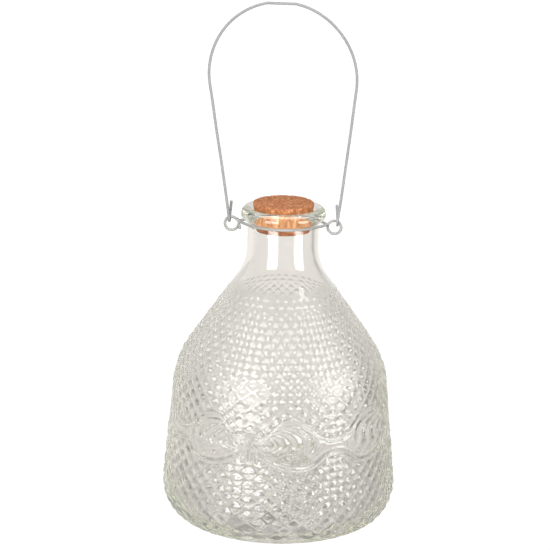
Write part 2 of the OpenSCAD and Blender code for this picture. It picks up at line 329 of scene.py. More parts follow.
def two_to_one(fine_row, ring, shift, flip):
    """Joins a row of M points to a ring of M / 2."""
    e, o = fine_row[0::2], fine_row[1::2]
    e2 = np.roll(e, -1)
    r0, r1 = ring, np.roll(ring, -1)
    if shift:  # the row stands half a step on
        tris = [np.c_[e, r0, o], np.c_[o, r0, r1], np.c_[o, r1, e2]]
    else:
        tris = [np.c_[e, r0, o], np.c_[o, r0, r1], np.c_[o, r1, e2]]
    for t in tris:
        faces.extend((t[:, ::-1] if flip else t).tolist())


two_to_one(rows[0], rings[0], False, False)
two_to_one(rows[-1], rings[-1], (n_rows - 1) % 2, True)

verts = np.vstack(verts)
glass = new_mesh("glass_body", verts, faces)
dull = np.zeros(len(verts))
for i in range(wavy_from, wavy_to):
    dull[rings[i]] = smoothstep(72.0, 100.0, smooth[i][1])
bm_normals = glass.data
import bmesh

bm = bmesh.new()
bm.from_mesh(bm_normals)
bmesh.ops.recalc_face_normals(bm, faces=bm.faces)
bm.to_mesh(bm_normals)
bm.free()
bm_normals.attributes.new("dull", "FLOAT", "POINT").data.foreach_set("value", dull)
print("glass faces", sum(len(p.vertices) - 2 for p in bm_normals.polygons))

# ------------------------------------------------------------------ cork
cork_top, cork_low, cork_z0, cork_z1 = 18.1, 15.65, 175.6, 192.1
SEG = 144
prof = [(0.02, cork_z0)] + [(r, cork_z0) for r in np.linspace(2.5, cork_low - 0.6, 6)]
prof += [(cork_low - 0.18, cork_z0 + 0.12), (cork_low, cork_z0 + 0.5)]
prof += [(cork_low + (cork_top - cork_low) * t, cork_z0 + 16.5 * t) for t in np.linspace(0.07, 0.955, 26)]
prof += [(cork_top - 0.06, cork_z1 - 0.45), (cork_top - 0.25, cork_z1 - 0.16), (cork_top - 0.62, cork_z1)]
prof += [(r, cork_z1) for r in np.linspace(cork_top - 1.2, 0.9, 26)] + [(0.02, cork_z1)]
cv, cf = [], []
for i, (r, z) in enumerate(prof):
    for kk in range(SEG):
        t = 2 * math.pi * kk / SEG
        x, y = r * math.sin(t), -r * math.cos(t)
        # pits and worn places only take material away
        pit = max(0.0, noise.noise(Vector((x * 0.55, y * 0.55, z * 0.55))) - 0.18) * 0.55
        grain = max(0.0, noise.noise(Vector((x * 1.6 + 9, y * 1.6, z * 1.6))) - 0.05) * 0.22
        cut = pit + grain
        if z >= cork_z1 - 0.5:
            worn = math.exp(-(((r - cork_top) / 0.9) ** 2))
            chip = max(0.0, noise.noise(Vector((math.sin(t) * 9, math.cos(t) * 9, 3.3))) + 0.15) * 0.75
            chip += max(0.0, noise.noise(Vector((math.sin(t) * 23, math.cos(t) * 23, 7.1)))) * 0.45
            dz = cut * 0.8 + chip * worn * 0.8
            dr = chip * worn * 0.55 + cut * 0.3 * worn
            rr = max(0.01, r - dr)
            cv.append((rr * math.sin(t), -rr * math.cos(t), z - dz))
        elif z <= cork_z0 + 0.01:
            cv.append((x, y, z + cut * 0.6))
        else:
            rr = r - min(0.28, cut * 0.5)
            cv.append((rr * math.sin(t), -rr * math.cos(t), z))
for i in range(len(prof) - 1):
    for kk in range(SEG):
        a, b = i * SEG + kk, i * SEG + (kk + 1) % SEG
        cf.append((a, b, b + SEG, a + SEG))
cf.append(tuple(range(SEG - 1, -1, -1)))
cf.append(tuple((len(prof) - 1) * SEG + kk for kk in range(SEG)))
cork = new_mesh("cork_plug", cv, cf)


# ------------------------------------------------------------------ wires
def catmull(points, per=8):
    """A smooth line through the points."""
    p = np.asarray(points, float)
    p = np.vstack([2 * p[0] - p[1], p, 2 * p[-1] - p[-2]])
    out = []
    for i in range(1, len(p) - 2):
        a, b, c, d = p[i - 1 : i + 3]
        for t in np.arange(per) / per:
            out.append(0.5 * (2 * b + (c - a) * t + (2 * a - 5 * b + 4 * c - d) * t**2 + (3 * b - a - 3 * c + d) * t**3))
    out.append(p[-2])
    return np.array(out)


def spaced(points, gap):
    p = np.asarray(points, float)
    s = np.r_[0, np.cumsum(np.linalg.norm(np.diff(p, axis=0), axis=1))]
    keep = np.r_[True, np.diff(s) > 1e-9]
    p, s = p[keep], s[keep]
    t = np.linspace(0, s[-1], max(2, int(round(s[-1] / gap)) + 1))
    return np.c_[[np.interp(t, s, p[:, k]) for k in range(3)]].T


def tube(points, radius, sides=18):
    """A round wire along the points, its cut ends a little bevelled."""
    p = np.asarray(points, float)
    t = np.gradient(p, axis=0)
    t /= np.linalg.norm(t, axis=1)[:, None]
    n = np.cross(t[0], [0.31, 0.83, 0.46])
    n /= np.linalg.norm(n)
    # both ends get a bevel ring and a cap
    first = p[0] + t[0] * 0.18
    last = p[-1] - t[-1] * 0.18
    core = [q for q in p[1:-1] if (q - p[0]) @ t[0] > 0.3 or np.linalg.norm(q - p[0]) > 2]
    stations = [(p[0], t[0], radius * 0.72), (first, t[0], radius)]
    for q, d in zip(p[1:-1], t[1:-1]):
        if np.linalg.norm(q - p[0]) > 0.35 and np.linalg.norm(q - p[-1]) > 0.35:
            stations.append((q, d, radius))
    stations += [(last, t[-1], radius), (p[-1], t[-1], radius * 0.72)]
    v, f = [], []
    for i, (q, d, r) in enumerate(stations):
        n = n - d * (n @ d)
        n /= np.linalg.norm(n)
        b = np.cross(d, n)
        for kk in range(sides):
            a = 2 * math.pi * kk / sides
            v.append(q + r * (math.cos(a) * n + math.sin(a) * b))
    for i in range(len(stations) - 1):
        for kk in range(sides):
            a, b2 = i * sides + kk, i * sides + (kk + 1) % sides
            f.append((a, b2, b2 + sides, a + sides))
    f.append(tuple(range(sides - 1, -1, -1)))
    f.append(tuple((len(stations) - 1) * sides + kk for kk in range(sides)))
    return np.array(v), f


def join(tubes):
    v, f, off = [], [], 0
    for a, b in tubes:
        v.append(a)
        f += [tuple(i + off for i in q) for q in b]
        off += len(a)
    return np.vstack(v), f


WR = 0.8
collar_r, collar_z = 22.15, 179.5
eye_r, eye_x, eye_z = 4.05, 30.2, 178.05
apex_x = eye_x - math.sqrt(eye_r**2 - (collar_z - eye_z) ** 2)
open_a = math.acos(collar_r / apex_x)


def collar_half(side):
    """Half the collar, from the left eye's root to the right one's: side -1 in front, 1 behind."""
    t = np.linspace(math.pi - open_a, open_a, 70)
    ring = np.c_[collar_r * np.cos(t), side * collar_r * np.sin(t), np.full(70, collar_z)]
    lead = 0.35
    left = along((-apex_x, side * 0.8, collar_z), ring[0] + [-lead * 0.5, 0, 0], 6)
    right = along(ring[-1] + [lead * 0.5, 0, 0], (apex_x, side * 0.8, collar_z), 6)
    return np.vstack([left[:-1], ring[2:-2], right[1:]])


def eye_turn(side, a0, a1, y0, y1, n=40):
    a = np.radians(np.linspace(a0, a1, n))
    y = np.linspace(y0, y1, n)
    return np.c_[side * (eye_x + eye_r * np.cos(a)), y, eye_z + eye_r * np.sin(a)]


a_root = math.degrees(math.atan2(collar_z - eye_z, apex_x - eye_x))
front, back = collar_half(-1), collar_half(1)
right_eye = eye_turn(1, a_root, a_root - 360, -0.8, 0.8)
ring_path = np.vstack([front[:-2], right_eye[1:-1], back[::-1][2:]])
left_eye = np.array([
    (-apex_x, 0.8, collar_z), (-27.9, 0.55, 180.75), (-29.4, 0.3, 181.75), (-30.7, 0.1, 182.1), (-32.05, 0.0, 181.72), (-33.5, -0.05, 180.85),
    (-34.45, -0.1, 179.1), (-34.5, -0.12, 176.9), (-33.45, -0.1, 174.8), (-31.4, -0.2, 173.8), (-29.1, -0.35, 174.2),
    (-27.3, -0.5, 175.4), (-26.4, -0.65, 177.2), (-26.1, -0.8, 178.7), (-26.0, -0.9, 179.9),
])
ring_path = np.vstack([ring_path[:-1], left_eye])
ring_path = catmull(spaced(ring_path, 2.0), 5)
ring_path[:, 2] -= 0.048 * ring_path[:, 1]  # it hangs a little lower behind
twist = catmull([(-27.6, 0.9, 180.4), (-27.1, -0.6, 180.9), (-26.5, -1.9, 180.2), (-26.1, -2.1, 178.6), (-25.75, -1.9, 176.9), (-25.5, -1.7, 175.1)], 8)
collar = new_mesh("collar_loop", *join([tube(spaced(ring_path, 0.7), WR), tube(spaced(twist, 0.5), WR)]))

hook_x, hook_r, tail_l, tail_lean = 32.0, 2.2, 9.5, 5.0
arch_r, handle_z, grip_l = 43.0, 308.8, 16.0
pivot_z = eye_z + math.sqrt(eye_r**2 - (hook_x - eye_x) ** 2)
flat_a = math.asin(grip_l / 2 / arch_r)
arch_z = handle_z - WR - arch_r * math.cos(flat_a)
leg_dz = arch_z - pivot_z
lean = math.atan2(leg_dz, hook_x) - math.acos(arch_r / math.hypot(hook_x, leg_dz))


def half_bail(side):
    tl = math.radians(tail_lean)
    tail = along((hook_x - tail_l * math.sin(tl), hook_r, pivot_z + tail_l * math.cos(tl)), (hook_x, hook_r, pivot_z), 10)
    a = np.linspace(0, -math.pi, 19)
    hook = np.c_[np.full(19, hook_x), hook_r * np.cos(a), pivot_z + hook_r * np.sin(a)]
    leg = along((hook_x, -hook_r, pivot_z), (arch_r * math.cos(lean), -hook_r, arch_z - arch_r * math.sin(lean)), 46)
    a = np.linspace(-lean, math.pi / 2 - flat_a, 70)
    bow = np.c_[arch_r * np.cos(a), np.full(70, -hook_r), arch_z + arch_r * np.sin(a)]
    grip = along((grip_l / 2, -hook_r, handle_z - WR), (0, -hook_r, handle_z - WR), 6)
    path = np.vstack([tail[:-1], hook[:-1], leg[:-1], bow[:-1], grip])
    return path * [side, 1, 1]


bail_path = np.vstack([half_bail(1), half_bail(-1)[::-1][1:]])
bail_path = spaced(bail_path, 0.8)
# hand-bent wire is never quite even
s = np.r_[0, np.cumsum(np.linalg.norm(np.diff(bail_path, axis=0), axis=1))]
hold = smoothstep(16, 60, s) * smoothstep(16, 60, s[-1] - s)
bail_path[:, 2] += 1.9 * (np.clip(bail_path[:, 2] - pivot_z - 12, 0, None) / (handle_z - pivot_z - 12)) ** 1.2
bail_path[:, 0] += hold * np.array([0.28 * noise.noise(Vector((x * 0.035, 4.0, 0.0))) for x in s])
bail_path[:, 0] -= 3.2 * smoothstep(16, 60, s) * smoothstep(16, 60, s[-1] - s) * (np.clip(bail_path[:, 2] - 181.7, 0, None) / 127) ** 1.5
bail_path[:, 1] += hold * np.array([0.35 * noise.noise(Vector((x * 0.03, 0.0, 9.0))) for x in s])
bail = new_mesh("bail_wire", *tube(bail_path, WR))


# ------------------------------------------------------------------ materials
def material(name):
    m = bpy.data.materials.new(name)
    m.use_nodes = True
    nt = m.node_tree
    nt.nodes.clear()
    out = nt.nodes.new("ShaderNodeOutputMaterial")
    b = nt.nodes.new("ShaderNodeBsdfPrincipled")
    nt.links.new(b.outputs[0], out.inputs["Surface"])
    return m, nt, b, out


def node(nt, kind, **sets):
    n = nt.nodes.new(kind)
    for k, v in sets.items():
        if k in n.inputs:
            n.inputs[k].default_value = v
        else:
            setattr(n, k, v)
    return n


def ramp(nt, source, stops):
    r = nt.nodes.new("ShaderNodeValToRGB")
    el = r.color_ramp.elements
    while len(el) < len(stops):
        el.new(0.5)
    for e, (pos, col) in zip(el, stops):
        e.position = pos
        e.color = (*col, 1.0) if len(col) == 3 else col
    nt.links.new(source, r.inputs["Fac"])
    return r


def node_range(nt, source, low, high):
    r = node(nt, "ShaderNodeMapRange")
    r.inputs["From Min"].default_value = low
    r.inputs["From Max"].default_value = high
    nt.links.new(source, r.inputs["Value"])
    return r.outputs["Result"]


def object_coords(nt):
    return nt.nodes.new("ShaderNodeTexCoord").outputs["Object"]


def calc(nt, op, *args):
    """One sum in a node, of sockets and plain numbers."""
    n = nt.nodes.new("ShaderNodeMath")
    n.operation = op
    for i, v in enumerate(args):
        if isinstance(v, (int, float)):
            n.inputs[i].default_value = v
        else:
            nt.links.new(v, n.inputs[i])
    return n.outputs[0]


def rise(nt, x, low, high):
    """0 below low and 1 above high, or the other way when low is the larger."""
    r = node(nt, "ShaderNodeMapRange", interpolation_type="SMOOTHSTEP")
    r.inputs["From Min"].default_value = min(low, high)
    r.inputs["From Max"].default_value = max(low, high)
    r.inputs["To Min"].default_value = 0.0 if low < high else 1.0
    r.inputs["To Max"].default_value = 1.0 if low < high else 0.0
    nt.links.new(x, r.inputs["Value"])
    return r.outputs["Result"]


def bell(nt, x, middle, width):
    d = calc(nt, "DIVIDE", calc(nt, "SUBTRACT", x, middle), width)
    return calc(nt, "POWER", math.e, calc(nt, "MULTIPLY", calc(nt, "MULTIPLY", d, d), -1.0))


def curve(nt, x, table, low, high):
    """A table of [degrees from a bow, value] as a drawn curve."""
    n = nt.nodes.new("ShaderNodeFloatCurve")
    c = n.mapping.curves[0]
    pts = [(d / 45.0, (v - low) / (high - low)) for d, v in table]
    c.points[0].location, c.points[1].location = pts[0], pts[-1]
    for q in pts[1:-1]:
        c.points.new(*q)
    n.mapping.update()
    nt.links.new(calc(nt, "DIVIDE", x, 45.0), n.inputs["Value"])
    return calc(nt, "MULTIPLY_ADD", n.outputs[0], high - low, low)


def festoon_lines(nt, co):
    """Height in mm of the festoon's fine lines: the hem, the folds of the loops and the knot's pleats."""
    place = node(nt, "ShaderNodeSeparateXYZ")
    nt.links.new(co, place.inputs[0])
    x, y = place.outputs["X"], place.outputs["Y"]
    z = calc(nt, "MULTIPLY", place.outputs["Z"], 1000.0)
    around = calc(nt, "ARCTAN2", x, calc(nt, "MULTIPLY", y, -1.0))
    step = calc(nt, "FLOORED_MODULO", calc(nt, "SUBTRACT", around, BOW_AT - BOW_EVERY / 2), BOW_EVERY)
    a = calc(nt, "MULTIPLY", calc(nt, "SUBTRACT", step, BOW_EVERY / 2), 180.0 / math.pi)
    b = calc(nt, "ABSOLUTE", a)
    # only the outside of the wall
    radius = calc(nt, "POWER", calc(nt, "ADD", calc(nt, "MULTIPLY", x, x), calc(nt, "MULTIPLY", y, y)), 0.5)
    plain = calc(nt, "MULTIPLY_ADD", z, -MM * tan_d(belly_lean), MM * (belly_r + tan_d(belly_lean) * belly_z))
    outside = rise(nt, calc(nt, "SUBTRACT", radius, plain), -0.0018, -0.0015)
    # the hem
    top = curve(nt, b, RIBBON_TOP, 60.0, 85.0)
    d = RIBBON_TOP[:, 0]
    d0, d1 = np.clip(d - 1.0, 0, 45), np.clip(d + 1.0, 0, 45)
    lean_at = (spline(RIBBON_TOP, d1) - spline(RIBBON_TOP, d0)) / ((d1 - d0) * MM_PER_DEG)
    across = curve(nt, b, np.c_[d, 1 / np.hypot(1, lean_at)], 0.0, 1.0)
    t_in = calc(nt, "MULTIPLY", calc(nt, "SUBTRACT", top, z), across)
    hem = calc(nt, "SUBTRACT", calc(nt, "MULTIPLY", bell(nt, t_in, 1.1, 0.75), 0.60), calc(nt, "MULTIPLY", bell(nt, t_in, 2.9, 0.8), 0.46))
    # the cord along the lower edge
    low = curve(nt, b, RIBBON_LOW, 45.0, 62.0)
    low_at = (spline(RIBBON_LOW, np.clip(RIBBON_LOW[:, 0] + 1, 0, 45)) - spline(RIBBON_LOW, np.clip(RIBBON_LOW[:, 0] - 1, 0, 45))) / ((np.clip(RIBBON_LOW[:, 0] + 1, 0, 45) - np.clip(RIBBON_LOW[:, 0] - 1, 0, 45)) * MM_PER_DEG)
    l_in = calc(nt, "MULTIPLY", calc(nt, "SUBTRACT", z, low), curve(nt, b, np.c_[RIBBON_LOW[:, 0], 1 / np.hypot(1, low_at)], 0.0, 1.0))
    sides = calc(nt, "ADD", calc(nt, "MULTIPLY", bell(nt, l_in, 1.8, 0.8), 0.36), calc(nt, "MULTIPLY", bell(nt, l_in, -1.7, 0.8), 0.34))
    cord = calc(nt, "SUBTRACT", calc(nt, "MULTIPLY", bell(nt, l_in, 0.0, 0.75), 0.5), sides)
    # the folds
    p = calc(nt, "SUBTRACT", calc(nt, "MULTIPLY", b, MM_PER_DEG), LOOP_X)
    q = calc(nt, "MULTIPLY", calc(nt, "SUBTRACT", z, LOOP_Z), LOOP_FLAT)
    above = calc(nt, "SUBTRACT", calc(nt, "ADD", calc(nt, "MULTIPLY", p, p), calc(nt, "MULTIPLY", q, q)), LOOP_R**2)
    below = calc(nt, "ADD", calc(nt, "ADD", calc(nt, "MULTIPLY", p, LOOP_DX), calc(nt, "MULTIPLY", q, LOOP_DZ)), LOOP_R * LOOP_DR)
    k = calc(nt, "DIVIDE", above, calc(nt, "MAXIMUM", calc(nt, "MULTIPLY", below, 2.0), 1.0))
    fold = calc(nt, "COSINE", calc(nt, "MULTIPLY", k, 2 * math.pi / 0.23))
    fold = calc(nt, "MULTIPLY", fold, calc(nt, "MULTIPLY", rise(nt, k, 0.88, 0.78), rise(nt, z, 59.0, 63.0)))
    fold = calc(nt, "MULTIPLY", calc(nt, "MULTIPLY", fold, rise(nt, t_in, 2.6, 3.8)), 0.60)
    # the pleats
    u = calc(nt, "MULTIPLY", a, MM_PER_DEG)
    v = calc(nt, "SUBTRACT", z, 63.2)
    far = calc(nt, "ABSOLUTE", v)
    wide = calc(nt, "MINIMUM", calc(nt, "MULTIPLY_ADD", far, 0.42, 1.8), 4.8)
    room = calc(nt, "SUBTRACT", wide, calc(nt, "ABSOLUTE", u))
    body = calc(nt, "MULTIPLY", rise(nt, room, -0.7, 0.4), calc(nt, "MULTIPLY", rise(nt, v, -12.0, -10.0), rise(nt, v, 8.0, 6.4)))
    fan = calc(nt, "ARCTAN2", u, calc(nt, "ADD", far, 2.2))
    pleat = calc(nt, "MULTIPLY", calc(nt, "COSINE", calc(nt, "MULTIPLY", fan, 15.0)), 0.42)
    lines = calc(nt, "ADD", calc(nt, "ADD", hem, cord), fold)
    lines = calc(nt, "ADD", calc(nt, "MULTIPLY", lines, calc(nt, "SUBTRACT", 1.0, body)), calc(nt, "MULTIPLY", pleat, body))
    return calc(nt, "MULTIPLY", lines, outside)


def glass_material():
    m, nt, b, out = material("pressed_glass")
    b.inputs["Base Color"].default_value = (0.99, 0.985, 0.98, 1)
    b.inputs["Transmission Weight"].default_value = 1.0
    b.inputs["IOR"].default_value = 1.51
    b.inputs["Roughness"].default_value = 0.0
    co = object_coords(nt)
    wave = node(nt, "ShaderNodeTexNoise", Scale=55.0, Detail=1.5, Roughness=0.4)
    nt.links.new(co, wave.inputs["Vector"])
    bump = node(nt, "ShaderNodeBump", Strength=0.16, Distance=0.0012)
    nt.links.new(wave.outputs["Fac"], bump.inputs["Height"])
    lines = node(nt, "ShaderNodeBump", Strength=1.0, Distance=MM)
    nt.links.new(festoon_lines(nt, co), lines.inputs["Height"])
    nt.links.new(bump.outputs["Normal"], lines.inputs["Normal"])
    nt.links.new(lines.outputs["Normal"], b.inputs["Normal"])
    haze = node(nt, "ShaderNodeTexNoise", Scale=30.0, Detail=3.0)
    nt.links.new(co, haze.inputs["Vector"])
    rough = node(nt, "ShaderNodeMapRange")
    rough.inputs["From Min"].default_value = 0.45
    rough.inputs["From Max"].default_value = 0.75
    rough.inputs["To Min"].default_value = 0.0
    rough.inputs["To Max"].default_value = 0.03
    nt.links.new(haze.outputs["Fac"], rough.inputs["Value"])
    # the inside of the shoulder has a duller skin than the rest
    inner = node(nt, "ShaderNodeAttribute", attribute_name="dull")
    nt.links.new(calc(nt, "MULTIPLY_ADD", inner.outputs["Fac"], 0.25, rough.outputs["Result"]), b.inputs["Roughness"])
    skin = ramp(nt, inner.outputs["Fac"], [(0.0, (0.99, 0.985, 0.98)), (1.0, (0.915, 0.91, 0.90))])
    nt.links.new(skin.outputs["Color"], b.inputs["Base Color"])
    # light passes straight through for shadows, so that the floor stays bright
    clear = node(nt, "ShaderNodeBsdfTransparent", Color=(0.93, 0.94, 0.92, 1))
    path = nt.nodes.new("ShaderNodeLightPath")
    mix = nt.nodes.new("ShaderNodeMixShader")
    nt.links.new(path.outputs["Is Shadow Ray"], mix.inputs["Fac"])
    nt.links.new(b.outputs[0], mix.inputs[1])
    nt.links.new(clear.outputs[0], mix.inputs[2])
    nt.links.new(mix.outputs[0], out.inputs["Surface"])
    tint = node(nt, "ShaderNodeVolumeAbsorption", Color=(0.872, 0.892, 0.81, 1), Density=14.0)
    nt.links.new(tint.outputs[0], out.inputs["Volume"])
    return m


def cork_material():
    m, nt, b, out = material("natural_cork")
    co = object_coords(nt)
    cells = node(nt, "ShaderNodeTexVoronoi", Scale=780.0)
    seams = node(nt, "ShaderNodeTexVoronoi", feature="DISTANCE_TO_EDGE", Scale=780.0)
    grain = node(nt, "ShaderNodeTexNoise", Scale=900.0, Detail=5.0, Roughness=0.7)
    for n in (cells, seams, grain):
        nt.links.new(co, n.inputs["Vector"])
    # pressed granules, each of its own tone, with dark specks and thin seams
    pick = node(nt, "ShaderNodeSeparateColor")
    nt.links.new(cells.outputs["Color"], pick.inputs[0])
    tone = ramp(nt, pick.outputs[0], [(0.0, (0.25, 0.090, 0.036)), (0.35, (0.37, 0.142, 0.056)), (0.75, (0.44, 0.180, 0.073)), (1.0, (0.56, 0.270, 0.130))])
    spots = ramp(nt, grain.outputs["Fac"], [(0.34, (0.52, 0.44, 0.40)), (0.48, (0.95, 0.93, 0.91)), (0.70, (1.0, 1.0, 1.0))])
    gaps = ramp(nt, seams.outputs["Distance"], [(0.0, (0.62, 0.55, 0.50)), (0.09, (1.0, 1.0, 1.0))])
    both = node(nt, "ShaderNodeMix", data_type="RGBA", blend_type="MULTIPLY")
    both.inputs["Factor"].default_value = 0.85
    nt.links.new(spots.outputs["Color"], both.inputs["A"])
    nt.links.new(gaps.outputs["Color"], both.inputs["B"])
    # painted light: the part that sits in the mouth is painted paler, standing in for the light the glass lip gathers
    # onto it; its lowest few millimetres are darker
    place = node(nt, "ShaderNodeSeparateXYZ")
    nt.links.new(co, place.inputs[0])
    painted_mouth_light = ramp(nt, node_range(nt, place.outputs["Z"], 0.1766, 0.1886), [(0.0, (0.58, 0.49, 0.43)), (0.28, (0.82, 0.82, 0.82)), (0.44, (1.20, 1.46, 1.66)), (0.70, (1.20, 1.44, 1.62)), (0.95, (1.0, 1.0, 1.0))])
    tone_with_painted_light = node(nt, "ShaderNodeMix", data_type="RGBA", blend_type="MULTIPLY")
    tone_with_painted_light.inputs["Factor"].default_value = 1.0
    nt.links.new(tone.outputs["Color"], tone_with_painted_light.inputs["A"])
    nt.links.new(painted_mouth_light.outputs["Color"], tone_with_painted_light.inputs["B"])
    mix = node(nt, "ShaderNodeMix", data_type="RGBA", blend_type="MULTIPLY")
    mix.inputs["Factor"].default_value = 0.9
    nt.links.new(tone_with_painted_light.outputs["Result"], mix.inputs["A"])
    nt.links.new(both.outputs["Result"], mix.inputs["B"])
    nt.links.new(mix.outputs["Result"], b.inputs["Base Color"])
    b.inputs["Roughness"].default_value = 0.85
    b.inputs["Specular IOR Level"].default_value = 0.25
    h = node(nt, "ShaderNodeMath", operation="ADD")
    nt.links.new(cells.outputs["Distance"], h.inputs[0])
    nt.links.new(grain.outputs["Fac"], h.inputs[1])
    bump = node(nt, "ShaderNodeBump", Strength=0.6, Distance=0.0006)
    nt.links.new(h.outputs["Value"], bump.inputs["Height"])
    nt.links.new(bump.outputs["Normal"], b.inputs["Normal"])
    return m


def wire_material(name, tone, rough):
    m, nt, b, out = material(name)
    co = object_coords(nt)
    b.inputs["Metallic"].default_value = 0.0
    b.inputs["Specular IOR Level"].default_value = 0.08
    spangle = node(nt, "ShaderNodeTexNoise", Scale=140.0, Detail=2.0, Roughness=0.5)
    nt.links.new(co, spangle.inputs["Vector"])
    lo = tuple(c * 0.92 for c in tone)
    col = ramp(nt, spangle.outputs["Fac"], [(0.35, lo), (0.65, tone)])
    nt.links.new(col.outputs["Color"], b.inputs["Base Color"])
    b.inputs["Roughness"].default_value = rough
    return m


glass.data.materials.append(glass_material())
cork.data.materials.append(cork_material())
collar.data.materials.append(wire_material("collar_wire_metal", (0.29, 0.29, 0.278), 0.5))
bail.data.materials.append(wire_material("handle_wire_metal", (0.25, 0.252, 0.253), 0.5))

# ------------------------------------------------------------------ the pieces and the frame
GLASS_NODES = ("glass_foot", "entry_funnel", "glass_belly", "glass_shoulder", "glass_neck")
for obj, body, nodes, slot in (
    (glass, "jar", GLASS_NODES, "glass"),
    (cork, "cork", ("cork_stopper",), "cork"),
    (collar, "collar", ("neck_wire",), "collar_wire"),
    (bail, "handle", ("bail_handle",), "handle_wire"),
):
    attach(obj, body)
    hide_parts(*nodes)

# ------------------------------------------------------------------ stage
floor = new_mesh("floor", [(-4000, -4000, -0.4), (4000, -4000, -0.4), (4000, 4000, -0.4), (-4000, 4000, -0.4)], [(0, 1, 2, 3)], smooth=False)
m, nt, b, out = material("floor_white")
b.inputs["Base Color"].default_value = (0.06, 0.058, 0.056, 1)
b.inputs["Roughness"].default_value = 0.9
b.inputs["Specular IOR Level"].default_value = 0.1
b.inputs["Emission Color"].default_value = (1.0, 0.96, 0.915, 1)
# it glows most behind the jar, and less close to it and towards the sides
spot = node(nt, "ShaderNodeSeparateXYZ")
nt.links.new(object_coords(nt), spot.inputs[0])
reach = node(nt, "ShaderNodeVectorMath", operation="LENGTH")
nt.links.new(object_coords(nt), reach.inputs[0])
glow = node(nt, "ShaderNodeMapRange", interpolation_type="SMOOTHSTEP")
for key, value in (("From Min", 0.34), ("From Max", 0.58), ("To Min", 0.66), ("To Max", 0.87)):
    glow.inputs[key].default_value = value
nt.links.new(reach.outputs["Value"], glow.inputs["Value"])
share_y = node(nt, "ShaderNodeMath", operation="DIVIDE")
nt.links.new(spot.outputs["Y"], share_y.inputs[0])
nt.links.new(reach.outputs["Value"], share_y.inputs[1])
behind = node(nt, "ShaderNodeMapRange", interpolation_type="SMOOTHSTEP")
for key, value in (("From Min", -0.15), ("From Max", 0.6), ("To Min", 0.18), ("To Max", 1.0)):
    behind.inputs[key].default_value = value
nt.links.new(share_y.outputs["Value"], behind.inputs["Value"])
both = node(nt, "ShaderNodeMath", operation="MULTIPLY")
nt.links.new(glow.outputs["Result"], both.inputs[0])
nt.links.new(behind.outputs["Result"], both.inputs[1])
share_x = node(nt, "ShaderNodeMath", operation="DIVIDE")
nt.links.new(spot.outputs["X"], share_x.inputs[0])
nt.links.new(reach.outputs["Value"], share_x.inputs[1])
aside = node(nt, "ShaderNodeMapRange", interpolation_type="SMOOTHSTEP")
for key, value in (("From Min", 0.3), ("From Max", 0.9), ("To Min", 1.0), ("To Max", 0.42)):
    aside.inputs[key].default_value = value
nt.links.new(share_x.outputs["Value"], aside.inputs["Value"])
level = node(nt, "ShaderNodeMath", operation="MULTIPLY")
nt.links.new(both.outputs["Value"], level.inputs[0])
nt.links.new(aside.outputs["Result"], level.inputs[1])
under = node(nt, "ShaderNodeMapRange", interpolation_type="SMOOTHSTEP")
for key, value in (("From Min", 0.06), ("From Max", 0.20), ("To Min", 0.35), ("To Max", 1.0)):
    under.inputs[key].default_value = value
nt.links.new(reach.outputs["Value"], under.inputs["Value"])
even = node(nt, "ShaderNodeMix", data_type="FLOAT")
even.inputs["A"].default_value = 0.75
nt.links.new(under.outputs["Result"], even.inputs["Factor"])
nt.links.new(level.outputs["Value"], even.inputs["B"])
# the glass throws a mottled light on it close by
mottle = node(nt, "ShaderNodeTexNoise", Scale=85.0, Detail=2.0, Roughness=0.55)
nt.links.new(object_coords(nt), mottle.inputs["Vector"])
patch = node(nt, "ShaderNodeMapRange")
for key, value in (("From Min", 0.38), ("From Max", 0.64), ("To Min", 0.40), ("To Max", 1.5)):
    patch.inputs[key].default_value = value
nt.links.new(mottle.outputs["Fac"], patch.inputs["Value"])
close = node(nt, "ShaderNodeMapRange", interpolation_type="SMOOTHSTEP")
for key, value in (("From Min", 0.10), ("From Max", 0.20), ("To Min", 1.0), ("To Max", 0.0)):
    close.inputs[key].default_value = value
nt.links.new(reach.outputs["Value"], close.inputs["Value"])
thrown = node(nt, "ShaderNodeMix", data_type="FLOAT")
thrown.inputs["A"].default_value = 1.0
nt.links.new(close.outputs["Result"], thrown.inputs["Factor"])
nt.links.new(patch.outputs["Result"], thrown.inputs["B"])
full = node(nt, "ShaderNodeMath", operation="MULTIPLY")
nt.links.new(even.outputs["Result"], full.inputs[0])
nt.links.new(thrown.outputs["Result"], full.inputs[1])
# a painted contact shadow: the glow is darkest in a ring where the foot stands
painted_foot_shadow = calc(nt, "MULTIPLY_ADD", bell(nt, reach.outputs["Value"], 0.064, 0.013), -0.42, 1.0)
nt.links.new(calc(nt, "MULTIPLY", full.outputs["Value"], painted_foot_shadow), b.inputs["Emission Strength"])
# a pale, evenly lit table: seen directly it is nearly white, and it lights the glass as a pale grey
lit = node(nt, "ShaderNodeEmission", Color=(1, 1, 1, 1), Strength=1.12)
path = nt.nodes.new("ShaderNodeLightPath")
share = node(nt, "ShaderNodeMath", operation="MULTIPLY")
share.inputs[1].default_value = 0.9
nt.links.new(path.outputs["Is Camera Ray"], share.inputs[0])
mix = nt.nodes.new("ShaderNodeMixShader")
nt.links.new(share.outputs["Value"], mix.inputs["Fac"])
nt.links.new(b.outputs[0], mix.inputs[1])
nt.links.new(lit.outputs[0], mix.inputs[2])
nt.links.new(mix.outputs[0], out.inputs["Surface"])
floor.data.materials.append(m)

world = bpy.data.worlds.new("studio")
scene.world = world
world.use_nodes = True
wnt = world.node_tree
bg = wnt.nodes["Background"]
# a pale backdrop behind and above, dimmer towards the near side
way = wnt.nodes.new("ShaderNodeTexCoord")
split = wnt.nodes.new("ShaderNodeSeparateXYZ")
wnt.links.new(way.outputs["Generated"], split.inputs[0])
dim = wnt.nodes.new("ShaderNodeMapRange")
dim.interpolation_type = "SMOOTHSTEP"
dim.inputs["From Min"].default_value = -0.05
dim.inputs["From Max"].default_value = 0.60
dim.inputs["To Min"].default_value = 0.15
dim.inputs["To Max"].default_value = 0.73
wnt.links.new(split.outputs["Y"], dim.inputs["Value"])
